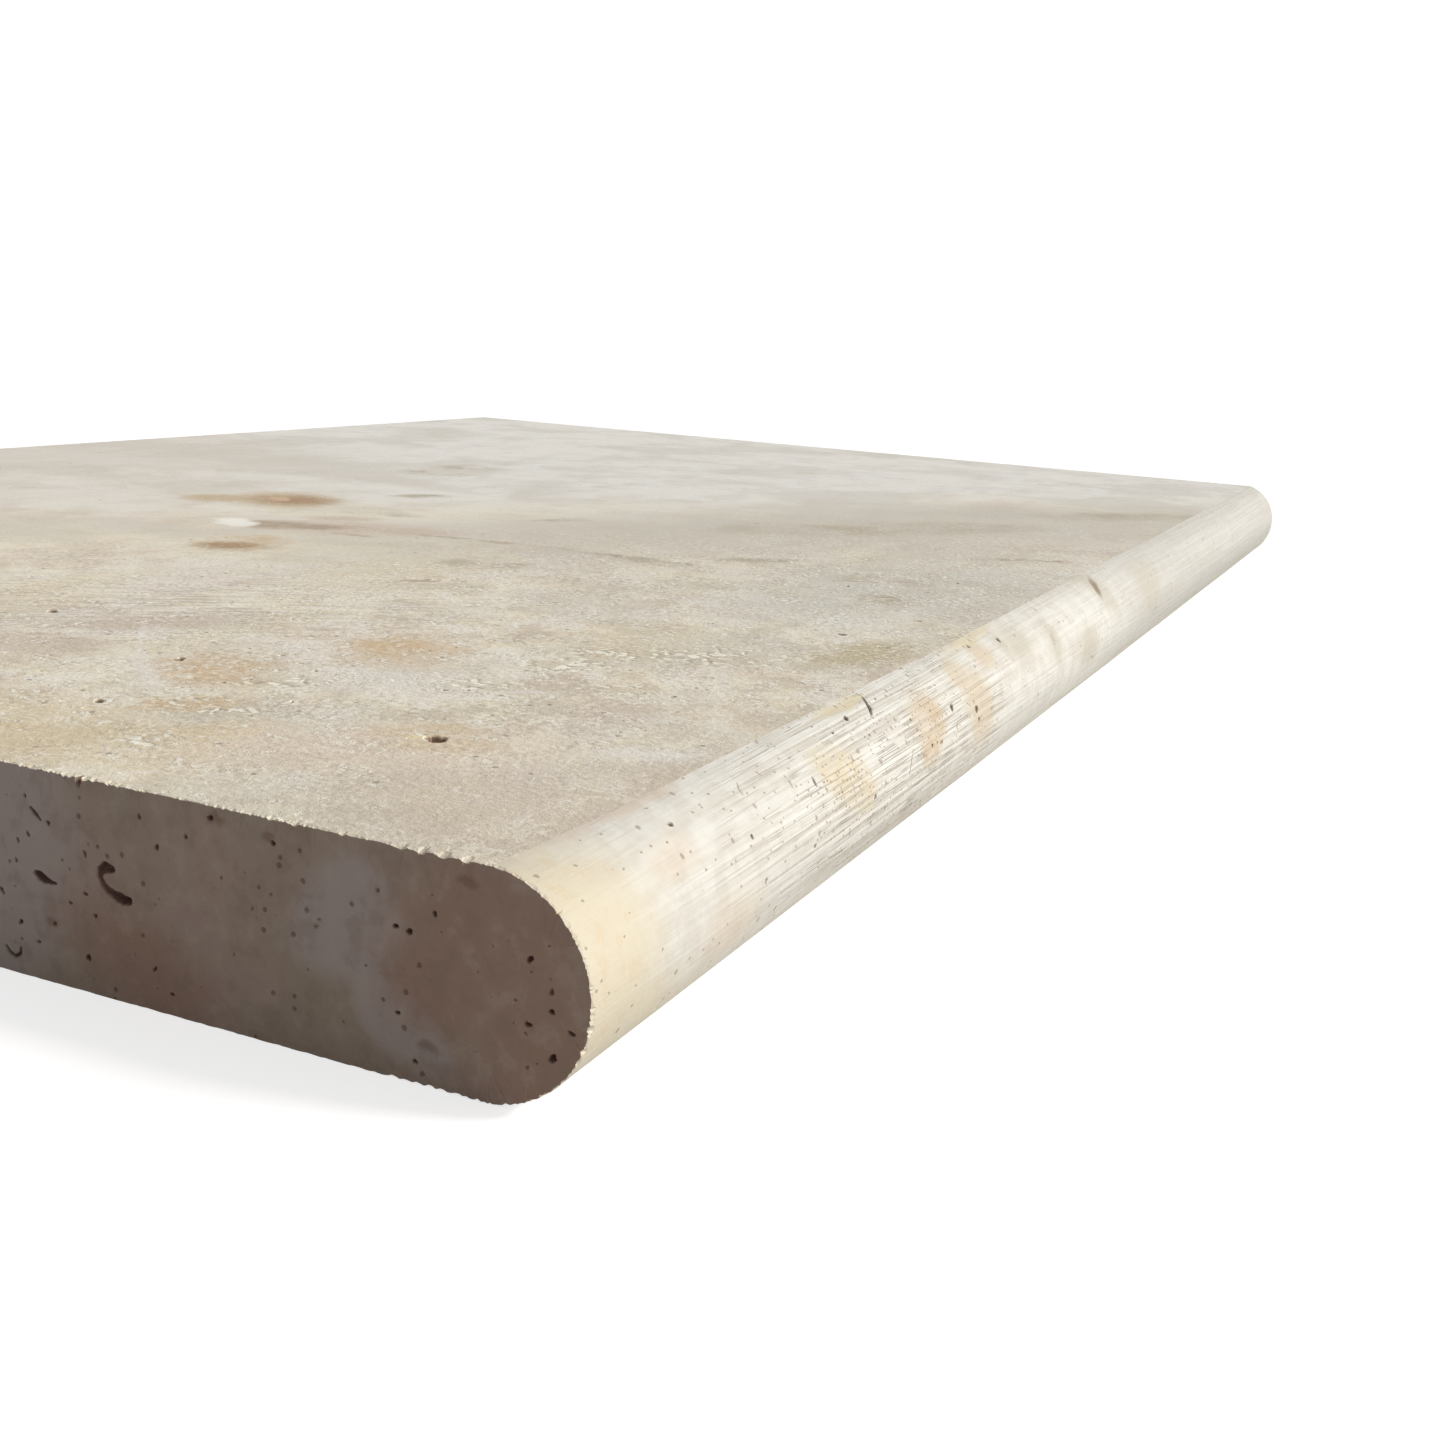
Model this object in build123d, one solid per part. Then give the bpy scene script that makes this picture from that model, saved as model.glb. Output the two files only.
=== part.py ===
"""Bullnose coping stone of unfilled travertine, for the rim of a swimming pool.

One piece of stone, sawn on the back, on both ends and underneath, with the long front edge
ground to a full round. The few largest natural voids that open on its faces are cut in too.

Millimetres. X runs along the stone, -Y is the pool side with the round nose, +Z is up, and the
origin is the centre of the underside.
"""

import math
import os

from build123d import *

# Catalogue size of the stone
length = 610.0
width = 406.0
thickness = 30.0

# The grinding wheel's arc meets the flat faces at this slight crease, in degrees
crease_angle = 10.0

# The nose: its arc spans the whole thickness, and its tip is the front of the stone
nose_radius = thickness / 2 / math.cos(math.radians(crease_angle))
nose_depth = nose_radius * (1 - math.sin(math.radians(crease_angle)))
nose_tip = -width / 2
nose_crease = nose_tip + nose_depth
nose_axis = nose_tip + nose_radius

near_end = -length / 2
back = width / 2
middle = thickness / 2


def slab():
    """The stone's cross-section, drawn looking along X, and run out to its length."""
    top_front = (nose_crease, thickness)
    bottom_front = (nose_crease, 0)
    top_back = (back, thickness)
    bottom_back = (back, 0)
    outline = [
        Line(bottom_front, bottom_back),
        Line(bottom_back, top_back),
        Line(top_back, top_front),
        ThreePointArc(top_front, (nose_tip, middle), bottom_front),
    ]
    section = Plane.YZ * make_face(outline)
    return extrude(section, amount=length / 2, both=True)


def hollow(long, wide):
    """A round-ended bore along X. Only its lower half cuts, and its seam lies along its top."""
    upper_half = SlotOverall(long, wide) & Pos(0, wide / 2) * Rectangle(long, wide)
    return revolve(Plane.XZ * upper_half, Axis.X)


def on_end(from_tip, height, turn):
    """A place on the near end: its X runs from the nose to the back, turned by `turn` degrees."""
    face = Plane((near_end, nose_tip + from_tip, height), x_dir=(0, 1, 0), z_dir=(-1, 0, 0))
    return face.location * Rot(0, 0, turn)


def on_nose(from_end, rise, turn):
    """A place on the nose, `rise` degrees above its tip: its X runs along, turned by `turn`."""
    out = (0, -math.cos(math.radians(rise)), math.sin(math.radians(rise)))
    foot = (near_end + from_end, nose_axis + nose_radius * out[1], middle + nose_radius * out[2])
    return Plane(foot, x_dir=(1, 0, 0), z_dir=out).location * Rot(0, 0, turn)


def on_top(from_end, from_tip, turn):
    """A place on the flat top: its X runs along the stone, turned by `turn` degrees."""
    return Pos(near_end + from_end, nose_tip + from_tip, thickness) * Rot(0, 0, turn)


def end_voids():
    """Voids that the saw opened in the near end, where the photograph shows them."""
    wedge_long = 3.8
    wedge_wide = 1.4
    speck_long = 1.6
    speck_wide = 1.2
    notch_below_top = 0.5
    wedge = on_end(83.0, middle, 10) * hollow(wedge_long, wedge_wide)
    notch = on_end(77.0, thickness - notch_below_top, 90) * hollow(speck_long, speck_wide)
    specks = [
        on_end(from_tip, height, turn) * hollow(speck_long, speck_wide)
        for from_tip, height, turn in [(4.8, 8.0, 50), (26.5, 19.6, 0), (76.3, 5.0, 90)]
    ]
    return [wedge, notch, worm_void(), *specks]


def worm_void():
    """The curled, worm-like void in the near end: a round channel on an arc, with rounded ends."""
    bore_radius = 0.7
    curl_radius = 3.4
    curl_start = -12
    curl_angle = 118
    centre = on_end(70.2, middle + 2.6, 0)
    path = centre * CenterArc((0, 0), curl_radius, curl_start, curl_angle)
    channel = sweep(Plane(path @ 0, z_dir=path % 0) * Circle(bore_radius), path=path)
    rounded_ends = [Pos(end) * Sphere(bore_radius) for end in (path @ 0, path @ 1)]
    return channel + rounded_ends


def nose_voids():
    """Slots and pits that grinding opened along the nose, where the photograph shows them."""
    slots = [
        on_nose(from_end, rise, turn) * hollow(long, wide)
        for from_end, rise, turn, long, wide in [
            (109.8, 63, 50, 5.2, 1.0),
            (282.0, 53, 48, 9.0, 1.8),
            (222.7, 32, 60, 5.0, 1.4),
        ]
    ]
    pit_long = 1.8
    pit_wide = 1.4
    pits = [
        on_nose(from_end, rise, 30) * hollow(pit_long, pit_wide)
        for from_end, rise in [(99.6, 58), (142.7, 29), (156.0, 18)]
    ]
    return slots + pits


def top_voids():
    """Pits in the flat top near the camera's end of the stone."""
    large_pit = on_top(43.3, 50.9, 35) * hollow(4.0, 3.0)
    small_pit_long = 2.4
    small_pit_wide = 1.6
    small_pits = [
        on_top(from_end, from_tip, 20) * hollow(small_pit_long, small_pit_wide)
        for from_end, from_tip in [(61.7, 116.0), (31.8, 104.7), (79.4, 163.3)]
    ]
    return [large_pit, *small_pits]


coping_stone = slab() - end_voids() - nose_voids() - top_voids()

os.makedirs("parts", exist_ok=True)
export_step(coping_stone, "parts/coping_stone.step")
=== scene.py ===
# Dressed model of a bullnose coping stone of unfilled travertine, on a plain pale floor.
# X runs along the stone, -Y is the pool side with the round nose, and Z is up. The stone's lengths
# are in millimetres, and become metres where its mesh is made. Floor and camera are in metres.
import functools
import math

import bmesh
import bpy
import numpy as np
from mathutils import Matrix, Vector
from mathutils.geometry import delaunay_2d_cdt
from mathutils.kdtree import KDTree


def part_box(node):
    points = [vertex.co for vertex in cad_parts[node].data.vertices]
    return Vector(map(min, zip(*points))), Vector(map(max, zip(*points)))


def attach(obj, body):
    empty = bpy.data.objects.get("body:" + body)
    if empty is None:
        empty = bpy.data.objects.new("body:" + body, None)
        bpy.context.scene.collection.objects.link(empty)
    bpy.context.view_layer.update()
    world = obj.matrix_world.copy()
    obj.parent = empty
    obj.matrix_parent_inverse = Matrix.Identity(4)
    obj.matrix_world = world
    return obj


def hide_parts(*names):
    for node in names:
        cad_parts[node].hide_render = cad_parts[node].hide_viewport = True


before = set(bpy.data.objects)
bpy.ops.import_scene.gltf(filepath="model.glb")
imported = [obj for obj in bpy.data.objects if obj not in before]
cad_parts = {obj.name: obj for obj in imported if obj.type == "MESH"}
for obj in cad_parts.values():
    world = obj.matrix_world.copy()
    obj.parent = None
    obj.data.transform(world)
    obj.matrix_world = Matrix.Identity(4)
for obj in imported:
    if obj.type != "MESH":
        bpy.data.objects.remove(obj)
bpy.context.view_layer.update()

MM = 0.001

# The stone's box, in millimetres, from the frame
low, high = (np.array(corner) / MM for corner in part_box("coping_stone"))
near, tip, _ = low
far, back, top = high
half = top / 2
middle_x = near + (far - near) / 2

# How deep the round nose reaches behind its tip, at stations along the stone from its near end
crease_stations = [0, 25, 90, 200, 610]
crease_depths = [13.8, 12.7, 11.3, 10.8, 10.6]

rng = np.random.default_rng(7)


# Smooth random numbers

@functools.cache
def random_row(seed):
    return np.random.default_rng(seed).uniform(-1, 1, 4096)


@functools.cache
def random_grid(seed):
    return np.random.default_rng(seed).uniform(-1, 1, (1024, 1024))


def wander(s, seed, step):
    """A smooth random number from -1 to 1 at each place `s`, that changes over `step`."""
    lattice = random_row(seed)
    at = np.asarray(s, float) / step
    cell = np.floor(at).astype(int)
    part = at - cell
    blend = part * part * (3 - 2 * part)
    return lattice[cell % 4096] * (1 - blend) + lattice[(cell + 1) % 4096] * blend


def wander2(u, v, seed, step):
    """The same over a plane."""
    lattice = random_grid(seed)
    at_u = np.asarray(u, float) / step + 512
    at_v = np.asarray(v, float) / step + 512
    cell_u = np.floor(at_u).astype(int)
    cell_v = np.floor(at_v).astype(int)
    part_u = at_u - cell_u
    part_v = at_v - cell_v
    blend_u = part_u * part_u * (3 - 2 * part_u)
    blend_v = part_v * part_v * (3 - 2 * part_v)
    front = lattice[cell_u, cell_v] * (1 - blend_u) + lattice[cell_u + 1, cell_v] * blend_u
    behind = lattice[cell_u, cell_v + 1] * (1 - blend_u) + lattice[cell_u + 1, cell_v + 1] * blend_u
    return front * (1 - blend_v) + behind * blend_v


def smooth(value, start, end):
    """0 before `start`, 1 after `end`, and a smooth step between."""
    part = np.clip((value - start) / (end - start), 0, 1)
    return part * part * (3 - 2 * part)


# The nose: at each station its arc runs through the tip and both creases

def crease_depth(x):
    """The nose's depth at each place along the stone, which wanders a little."""
    from_end = x - near
    depth = np.interp(from_end, crease_stations, crease_depths)
    return depth + 0.35 * wander(from_end, 3, 42) + 0.12 * wander(from_end, 4, 9)


def nose_arc(x):
    """The arc's radius and the angle from its tip to a crease."""
    depth = crease_depth(x)
    radius = (depth**2 + half**2) / (2 * depth)
    return radius, np.arctan2(half, radius - depth)


# Faces, each laid out flat in two of its own coordinates (u, v), in millimetres

class Face:
    """A face of the stone: how its flat layout lies in space, which way it faces, and its finish."""

    def __init__(self, place, normal, flip, finish):
        self.place = place
        self.normal = normal
        self.flip = flip
        self.finish = finish
        self.hollows = []


def flat(axis, value, order, outward):
    """The place and normal functions of a flat face square to `axis`."""
    def place(uv):
        points = np.full((len(uv), 3), float(value))
        points[:, order[0]] = uv[:, 0]
        points[:, order[1]] = uv[:, 1]
        return points

    def normal(uv):
        directions = np.zeros((len(uv), 3))
        directions[:, axis] = outward
        return directions

    return place, normal


def nose_place(uv):
    x, arc = uv[:, 0], uv[:, 1]
    radius, _ = nose_arc(x)
    angle = arc / radius
    return np.column_stack([x, tip + radius * (1 - np.cos(angle)), half + radius * np.sin(angle)])


def nose_normal(uv):
    radius, _ = nose_arc(uv[:, 0])
    angle = uv[:, 1] / radius
    return np.column_stack([np.zeros(len(uv)), -np.cos(angle), np.sin(angle)])


honed, ground, sawn = range(3)
faces = {
    "top": Face(*flat(2, top, (0, 1), 1), False, honed),
    "bottom": Face(*flat(2, 0, (0, 1), -1), True, sawn),
    "near_end": Face(*flat(0, near, (1, 2), -1), True, sawn),
    "far_end": Face(*flat(0, far, (1, 2), 1), False, sawn),
    "back": Face(*flat(1, back, (0, 2), 1), True, sawn),
    "nose": Face(nose_place, nose_normal, False, ground),
}


# Points along the stone's edges, which neighbouring faces share

def graded(start, end, fine, coarse, reach):
    """Places from `start` to `end`, `fine` apart at the start and `coarse` apart past `reach`."""
    places = [start]
    while True:
        step = fine + (coarse - fine) * min(1, (places[-1] - start) / reach)
        if places[-1] + 1.5 * step > end:
            break
        places.append(places[-1] + step)
    return np.array(places + [end])


# The near end's upper edge is finest as far back as this, which is the part near the camera
fine_back = -106.0
crease_x = graded(near, far, 0.35, 1.1, 120)
back_x = graded(near, far, 1.0, 1.0, 1)
near_crease = tip + crease_depth(near)
far_crease = tip + crease_depth(far)
near_top_y = np.concatenate([
    graded(near_crease, fine_back, 0.22, 0.22, 1)[:-1],
    graded(fine_back, back, 0.7, 0.7, 1),
])
near_bottom_y = graded(near_crease, back, 0.5, 1.2, 80)
far_top_y = graded(far_crease, back, 0.8, 0.8, 1)
far_bottom_y = graded(far_crease, back, 1.2, 1.2, 1)
back_z = np.linspace(0, top, 31)


def arc_places(x, step):
    radius, angle = nose_arc(x)
    reach = radius * angle
    return np.linspace(-reach, reach, int(2 * reach / step) | 1)


near_arc = arc_places(near, 0.22)
far_arc = arc_places(far, 0.7)


def ring(*sides):
    """A closed outline from sides that share their end points."""
    return np.concatenate([np.column_stack(side)[:-1] for side in sides])


def side(u, v):
    """A side of an outline, whose `u` or `v` may be one number."""
    return np.broadcast_arrays(np.asarray(u, float), np.asarray(v, float))


crease_y = tip + crease_depth(crease_x)
crease_arc = np.multiply(*nose_arc(crease_x))


def end_outline(x, bottom_y, top_y, arc):
    on_nose = nose_place(np.column_stack([np.full(len(arc), x), arc]))
    return ring(
        side(bottom_y[::-1], 0),
        (on_nose[:, 1], on_nose[:, 2]),
        side(top_y, top),
        side(back, back_z[::-1]),
    )[::-1]


def flat_outline(near_y, far_y):
    return ring(
        (crease_x, crease_y),
        side(far, far_y),
        side(back_x[::-1], back),
        side(near, near_y[::-1]),
    )


outlines = {
    "top": flat_outline(near_top_y, far_top_y),
    "bottom": flat_outline(near_bottom_y, far_bottom_y),
    "nose": ring(
        (crease_x, -crease_arc),
        side(far, far_arc),
        (crease_x[::-1], crease_arc[::-1]),
        side(near, near_arc[::-1]),
    ),
    "back": ring(
        side(back_x, 0),
        side(far, back_z),
        side(back_x[::-1], top),
        side(near, back_z[::-1]),
    ),
    "near_end": end_outline(near, near_bottom_y, near_top_y, near_arc),
    "far_end": end_outline(far, far_bottom_y, far_top_y, far_arc),
}


# Chipped edges

crease_reach = float(np.prod(nose_arc(near)))


def ring_frame(points):
    """Each point's depth below the top, bottom or nose, the way out, and its place round there."""
    x, y, z = points.T
    radius, angle = nose_arc(x)
    axis = tip + radius
    up = z >= half
    none = np.zeros(len(x))
    on_flat = smooth(y, tip + crease_depth(x) - 1, tip + crease_depth(x) + 1)[:, None]
    distance = np.hypot(axis - y, z - half)
    radial = np.column_stack([none, y - axis, z - half]) / np.maximum(distance, 1e-9)[:, None]
    straight = np.column_stack([none, none, np.where(up, 1.0, -1.0)])
    outward = (1 - on_flat) * radial + on_flat * straight
    outward /= np.linalg.norm(outward, axis=1)[:, None]
    depth = (1 - on_flat[:, 0]) * (radius - distance) + on_flat[:, 0] * np.where(up, top - z, z)
    swing = radius * np.arctan2(z - half, axis - y)
    crease = tip + crease_depth(x)
    past_crease = crease + swing - radius * angle
    below = crease - 2 * radius * angle - (y - crease)
    place = np.where(y > crease, np.where(up, y, below), past_crease)
    return depth, outward, place


# Every edge is broken away by at least this
least_chip = 0.08


def chip_size(place, seed, teeth, flakes):
    """How far the edge is broken away at each place along it: fine teeth and rarer larger flakes."""
    fine = np.clip(np.abs(wander(place, seed, 0.42)) - 0.2, 0, 1)
    fine *= 0.65 + 0.35 * wander(place, seed + 1, 5)
    coarse = np.clip(wander(place, seed + 2, 1.4) - 0.4, 0, 1)
    coarse *= np.clip(0.2 + wander(place, seed + 3, 14), 0, 1)
    return least_chip + teeth * fine + flakes * coarse


# Larger flakes off the near end's upper edge: place along the edge, half width, and size
near_flakes = [
    (-176.4, 1.1, 0.45), (-179.3, 0.9, 0.62), (-182.4, 1.2, 0.55), (-185.6, 0.9, 0.5), (-160.8, 0.8, 0.35),
]
# The notch in that edge, and how steeply the notch and the chips cut in from the end. It may
# reach so far along the top and so far down the end.
notch_place = -126.1
notch_half = 0.62
notch_deep = 1.9
notch_slope = 2.1
notch_reach = (1.2, 2.2)
near_slope = 0.42
far_slope = 0.6


def near_chips(place, z):
    """The near end's chips. Its lower edge has smaller ones."""
    size = chip_size(place, 11, 0.62, 0.8)
    for centre, half_wide, deep in near_flakes:
        size += deep * (1 - smooth(np.abs(place - centre) / half_wide, 0.2, 1.0)) * (z > half)
    under = place < tip - crease_reach * 2 - 1
    return size * np.where(under, 0.3, 1.0)


def chipped(points):
    """Moves points at the stone's edges in to the broken surface, and tells how far each moved."""
    x, y, z = points.T
    ring_depth, ring_out, ring_place = ring_frame(points)
    moved = np.zeros_like(points)
    along_x = np.array([1.0, 0, 0])
    along_y = np.array([0, 1.0, 0])
    along_z = np.array([0, 0, 1.0])
    near_size = near_chips(ring_place, z)
    notch = notch_deep * (1 - smooth(np.abs(y - notch_place) / notch_half, 0.3, 1.0)) * (z > half)
    edges = [
        (x - near, ring_depth, -along_x, ring_out, near_size, near_slope),
        (x - near, ring_depth, -along_x, ring_out, notch, notch_slope),
        (far - x, ring_depth, along_x, ring_out, chip_size(ring_place, 21, 0.6, 1.0), far_slope),
        (back - y, top - z, along_y, along_z, chip_size(x, 31, 0.6, 1.0), far_slope),
        (back - y, z, along_y, -along_z, chip_size(x, 41, 0.5, 0.8), far_slope),
        (x - near, back - y, -along_x, along_y, chip_size(z + 900, 51, 0.6, 0.8), far_slope),
        (far - x, back - y, along_x, along_y, chip_size(z + 950, 61, 0.6, 0.8), far_slope),
    ]
    for depth_a, depth_b, out_a, out_b, size, slope in edges:
        reach = np.hypot(1, slope)
        push = np.clip((size - (depth_b + slope * depth_a)) / reach, 0, None)[:, None]
        moved -= push * (slope * out_a + out_b) / reach
    distance = np.linalg.norm(moved, axis=1)
    in_notch = np.abs(y - notch_place) < notch_half
    in_notch &= (x < near + notch_reach[0]) & (z > top - notch_reach[1])
    return points + moved, distance, in_notch


# Hollows: natural voids that sawing and grinding opened

class Pit:
    """An oval hollow with an uneven rim, turned by some degrees in the face's layout."""

    def __init__(self, u, v, long, wide, turn, deep, rings, spokes):
        self.centre = np.array([u, v])
        self.half_sizes = np.array([long, wide]) / 2
        self.turn = math.radians(turn)
        self.deep = deep
        self.rings = rings
        self.spokes = spokes
        self.phases = rng.uniform(0, 2 * math.pi, 3)
        self.reach = long * 0.75

    def rim(self, angle):
        swing = 0.14 * np.cos(2 * angle + self.phases[0]) + 0.10 * np.cos(3 * angle + self.phases[1])
        return 1 + swing + 0.07 * np.cos(5 * angle + self.phases[2])

    def points(self):
        angle = np.arange(self.spokes) * 2 * math.pi / self.spokes + self.phases[0]
        shape = [self.centre]
        cos_turn, sin_turn = math.cos(self.turn), math.sin(self.turn)
        for share in self.rings:
            local = share * self.rim(angle)[:, None] * np.column_stack([np.cos(angle), np.sin(angle)])
            local = local * self.half_sizes
            turned = local @ np.array([[cos_turn, sin_turn], [-sin_turn, cos_turn]])
            shape.extend(self.centre + turned)
        return np.array(shape)

    def share(self, uv):
        """0 at the centre, 1 at the rim, and more outside."""
        offset = uv - self.centre
        cos_turn, sin_turn = math.cos(self.turn), math.sin(self.turn)
        local = offset @ np.array([[cos_turn, -sin_turn], [sin_turn, cos_turn]]) / self.half_sizes
        angle = np.arctan2(local[:, 1], local[:, 0])
        return np.hypot(local[:, 0], local[:, 1]) / self.rim(angle)

    def depth(self, uv):
        share = self.share(uv)
        return self.deep * (1 - smooth(share, 0.45, 1.0)), share


class Worm:
    """A hollow along a line of places, each with its own radius and depth.

    Its mesh has points `spacing` apart.
    """

    def __init__(self, places, spacing):
        places = np.array(places, float)
        steps = np.linspace(0, len(places) - 1, 8 * (len(places) - 1) + 1)
        columns = [np.interp(steps, range(len(places)), column) for column in places.T]
        self.path = np.column_stack(columns)
        self.spacing = spacing
        self.centre = self.path[:, :2].mean(axis=0)
        self.reach = np.abs(self.path[:, :2] - self.centre).max() + 1.6 * self.path[:, 2].max()

    def points(self):
        low_corner = self.path[:, :2].min(axis=0) - 1.3 * self.path[:, 2].max()
        high_corner = self.path[:, :2].max(axis=0) + 1.3 * self.path[:, 2].max()
        grid = np.meshgrid(*(np.arange(a, b, self.spacing) for a, b in zip(low_corner, high_corner)))
        grid = np.column_stack([axis.ravel() for axis in grid])
        return grid[self.share(grid)[0] < 1.35]

    def share(self, uv):
        away = np.hypot(uv[:, None, 0] - self.path[None, :, 0], uv[:, None, 1] - self.path[None, :, 1])
        shares = away / self.path[None, :, 2]
        nearest = shares.argmin(axis=1)
        rough = 1 + 0.12 * wander2(uv[:, 0], uv[:, 1], 71, 0.5)
        return shares.min(axis=1) * rough, nearest

    def depth(self, uv):
        share, nearest = self.share(uv)
        return self.path[nearest, 3] * (1 - smooth(share, 0.5, 1.0)), share


fine_rings, fine_spokes = (0.45, 0.7, 0.85, 0.95, 1.03, 1.3), 18
plain_rings, plain_spokes = (0.5, 0.78, 1.02, 1.4), 9


def pit(u, v, long, wide, turn, deep):
    return Pit(u, v, long, wide, turn, deep, fine_rings, fine_spokes)


def scatter(face, count, inside, size, stretch, turn, clusters=None):
    """Small pits at random over a face, thicker where `clusters` says.

    Each pair holds the least and the most: of both places, length, width to length, and turn.
    """
    (u_low, u_high), (v_low, v_high) = inside
    placed = 0
    while placed < count:
        u, v = rng.uniform(u_low, u_high), rng.uniform(v_low, v_high)
        if clusters is not None and rng.uniform() > clusters(u, v):
            continue
        long = size[0] + (size[1] - size[0]) * rng.uniform() ** 3
        if any(math.hypot(u - h.centre[0], v - h.centre[1]) < h.reach + long for h in face.hollows):
            continue
        wide = long * rng.uniform(*stretch)
        angle = rng.uniform(*turn)
        deep = wide * rng.uniform(0.3, 0.7)
        face.hollows.append(Pit(u, v, long, wide, angle, deep, plain_rings, plain_spokes))
        placed += 1


def up_the_nose(rows):
    """Rows of the nose, whose second numbers are degrees above its tip, as rows of its layout."""
    radius = float(nose_arc(middle_x)[0])
    return [(x, math.radians(rise) * radius, *sizes) for x, rise, *sizes in rows]


# Worms: the spacing of their points, and their places, each with its radius and depth. The near
# end's places are across and up, and the nose's are along and degrees above its tip.
end_worms = [
    (0.13, [
        (-131.4, 18.3, 0.56, 1.3), (-130.3, 18.4, 0.86, 1.9), (-129.4, 17.8, 0.74, 1.2),
        (-129.2, 16.9, 0.58, 0.7), (-129.7, 16.0, 0.58, 0.6), (-130.5, 15.3, 0.66, 0.8),
        (-131.6, 14.8, 0.80, 1.3), (-132.8, 14.5, 0.86, 1.9), (-134.0, 14.4, 0.70, 1.9),
    ]),
    (0.11, [
        (-117.8, 15.2, 0.42, 0.9), (-118.6, 14.9, 0.78, 1.8), (-119.5, 14.6, 0.66, 1.7),
        (-120.5, 14.4, 0.38, 0.9), (-121.5, 14.4, 0.18, 0.5),
    ]),
    (0.12, [
        (-111.8, 3.5, 0.26, 0.6), (-112.4, 2.7, 0.34, 0.8), (-113.3, 2.3, 0.30, 0.7),
        (-114.3, 2.9, 0.32, 0.8), (-114.5, 3.8, 0.22, 0.5),
    ]),
    (0.12, [(-117.5, 24.3, 0.28, 0.6), (-118.4, 23.5, 0.34, 0.8), (-119.2, 22.9, 0.18, 0.5)]),
]
nose_worms = [
    (0.14, [
        (-192.6, 66, 0.20, 0.3), (-193.8, 61, 0.40, 0.55), (-195.0, 56, 0.46, 0.65),
        (-196.6, 52, 0.30, 0.4),
    ]),
    (0.4, [(-18.9, 66, 0.9, 0.15), (-21.6, 57, 1.9, 0.45), (-24.0, 49, 2.0, 0.45), (-26.2, 41, 1.2, 0.15)]),
    (0.4, [(-79.6, 42, 0.8, 0.1), (-82.3, 32, 1.7, 0.24), (-84.4, 22, 0.8, 0.1)]),
    (0.12, [(-250.6, 56, 0.22, 0.1), (-251.6, 53, 0.28, 0.16), (-251.9, 49, 0.20, 0.1)]),
    (0.12, [(-188.0, 19, 0.16, 0.3), (-190.2, 13, 0.20, 0.4), (-191.6, 6, 0.14, 0.3)]),
]

# Pits: place, length, width, turn and depth. The nose's second number is degrees above its tip.
end_pits = [
    (-120.5, 22.7, 0.9, 0.7, 20, 0.8), (-116.6, 25.8, 0.7, 0.5, 90, 0.6),
    (-116.8, 20.5, 0.9, 0.7, 60, 0.7), (-114.9, 19.3, 1.1, 0.5, 75, 0.6),
    (-126.8, 19.6, 1.2, 0.5, 80, 0.6), (-114.4, 16.4, 1.0, 0.5, 70, 0.6),
    (-113.2, 16.0, 0.6, 0.5, 20, 0.4), (-111.5, 11.5, 1.3, 0.7, 65, 1.0),
    (-126.6, 14.0, 0.9, 0.7, 10, 0.6), (-123.9, 12.2, 0.8, 0.6, 10, 0.5),
    (-128.2, 11.2, 0.9, 0.7, 60, 0.6), (-114.7, 7.6, 1.1, 0.8, 150, 0.9),
    (-120.9, 8.6, 1.0, 0.8, 10, 0.4), (-117.9, 5.4, 0.8, 0.6, 10, 0.5), (-126.7, 5.0, 1.2, 0.95, 90, 1.3),
    (-138.2, 5.9, 1.1, 0.5, 120, 0.6), (-139.1, 22.8, 1.2, 0.7, 100, 0.7),
    (-143.9, 25.1, 0.9, 0.6, 80, 0.5), (-136.3, 26.4, 1.0, 0.6, 100, 0.5),
    (-147.9, 28.3, 1.3, 0.8, 0, 0.7), (-157.7, 26.8, 1.0, 0.8, 0, 0.6), (-175.9, 19.8, 1.0, 0.8, 0, 0.8),
    (-177.9, 19.5, 1.2, 0.9, 0, 1.0), (-181.5, 22.5, 0.9, 0.7, 90, 0.6),
    (-194.6, 19.6, 1.2, 0.9, 120, 0.8), (-197.6, 16.2, 1.0, 0.8, 90, 0.4),
    (-197.7, 13.8, 1.1, 0.7, 0, 0.7), (-194.6, 11.5, 1.1, 0.8, 0, 0.8), (-200.4, 11.7, 1.1, 0.7, 10, 0.7),
    (-198.0, 8.0, 1.6, 1.0, 140, 1.1), (-176.3, 8.7, 0.9, 0.7, 0, 0.6), (-178.9, 2.9, 1.1, 0.7, 0, 0.6),
    (-141.0, 3.0, 0.9, 0.7, 0, 0.6),
]
nose_pits = [
    (-205.4, 58, 1.7, 1.2, 40, 1.0), (-193.0, 73, 1.2, 0.8, 30, 0.7), (-188.4, 75, 1.0, 0.7, 30, 0.6),
    (-189.8, 60, 1.0, 0.6, 60, 0.5), (-230.4, 35, 1.9, 1.0, 80, 0.45), (-272.5, 54, 1.2, 1.0, 0, 0.6),
    (-209.2, 7, 1.3, 0.9, 30, 0.8), (-236.0, 3, 1.0, 0.8, 0, 0.6), (-256.2, 28, 0.9, 0.8, 0, 0.5),
    (-254.7, 3, 1.1, 0.8, 60, 0.4), (-162.3, 29, 2.0, 1.2, 40, 0.9), (-149.0, 18, 2.1, 1.5, 40, 1.1),
    (-148.4, 10, 1.6, 1.1, 20, 0.5), (-115.9, 54, 2.2, 1.5, 20, 0.6), (-172.5, 12, 1.2, 0.8, 20, 0.6),
    (-178.0, 14, 1.0, 0.8, 20, 0.6), (-133.0, 61, 1.6, 1.1, 30, 0.5), (-168.0, 72, 1.6, 0.8, 20, 0.5),
]
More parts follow.
